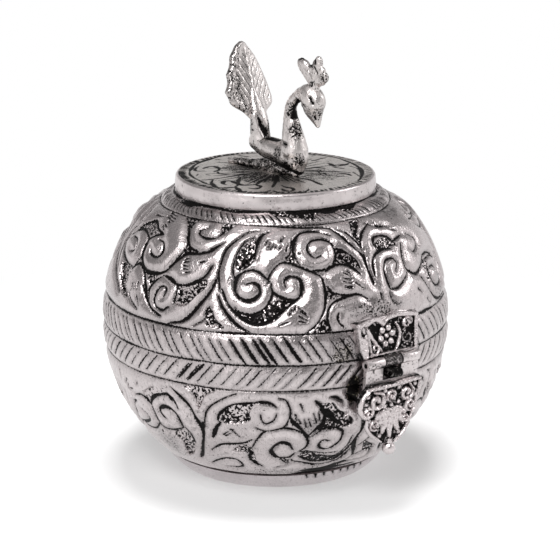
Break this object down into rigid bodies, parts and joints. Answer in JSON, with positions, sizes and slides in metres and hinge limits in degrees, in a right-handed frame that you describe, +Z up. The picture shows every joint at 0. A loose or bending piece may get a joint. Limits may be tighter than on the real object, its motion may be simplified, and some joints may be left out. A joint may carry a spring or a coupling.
{
  "type": "paan box",
  "caption": "Globe-shaped betel leaf box in oxidised white metal, hinged at the back, with a hasp at the front and a peacock finial on the lid.",
  "frame": {"origin": "centre of the foot ring's bottom face, on the globe's upright axis", "axes": "+Z up out of the lid, the hasp at the front faces -Y, the hinge is at +Y, and both hinge axes run along X"},
  "size_m": [0.11, 0.119, 0.1336],
  "materials": {
    "embossed_shell": "oxidised in the hollows and polished on the high relief",
    "plain_band": "polished with fine wear",
    "clasp_metal": "cast, blackened in the hollows",
    "cast_finial": "cast, lightly polished over blackened pits",
    "hinge_metal": "dull",
    "inner_metal": "unpolished"
  },
  "bodies": {
    "bowl": {"bowl_shell": "embossed_shell", "foot_ring": "plain_band", "rim_sleeve": "inner_metal", "staple": "clasp_metal", "hinge_leaf_bowl": "hinge_metal", "hinge_rivets_bowl": "hinge_metal", "hinge_pin": "hinge_metal"},
    "lid": {"lid_dome": "embossed_shell", "top_cap": "plain_band", "hinge_leaf_lid": "hinge_metal", "hinge_rivets_lid": "hinge_metal", "clasp_plate": "clasp_metal", "clasp_rivets": "clasp_metal", "hasp_pin": "clasp_metal", "peacock_perch": "cast_finial", "peacock_body": "cast_finial", "peacock_tail": "cast_finial", "peacock_crest": "cast_finial", "finial_stud": "inner_metal", "finial_washer": "inner_metal", "finial_nut": "inner_metal"},
    "hasp": {"hasp_strap": "clasp_metal", "hasp_shield": "clasp_metal", "hasp_knob": "clasp_metal"}
  },
  "joints": [
    {"name": "lid_hinge", "type": "hinge", "parent": "bowl", "child": "lid", "pos_m": [0, 0.05705, 0.0472], "axis": [-1, 0, 0], "range_deg": [0, 105]},
    {"name": "hasp_hinge", "type": "hinge", "parent": "lid", "child": "hasp", "pos_m": [0, -0.0573, 0.0462], "axis": [-1, 0, 0], "range_deg": [0, 130]}
  ]
}
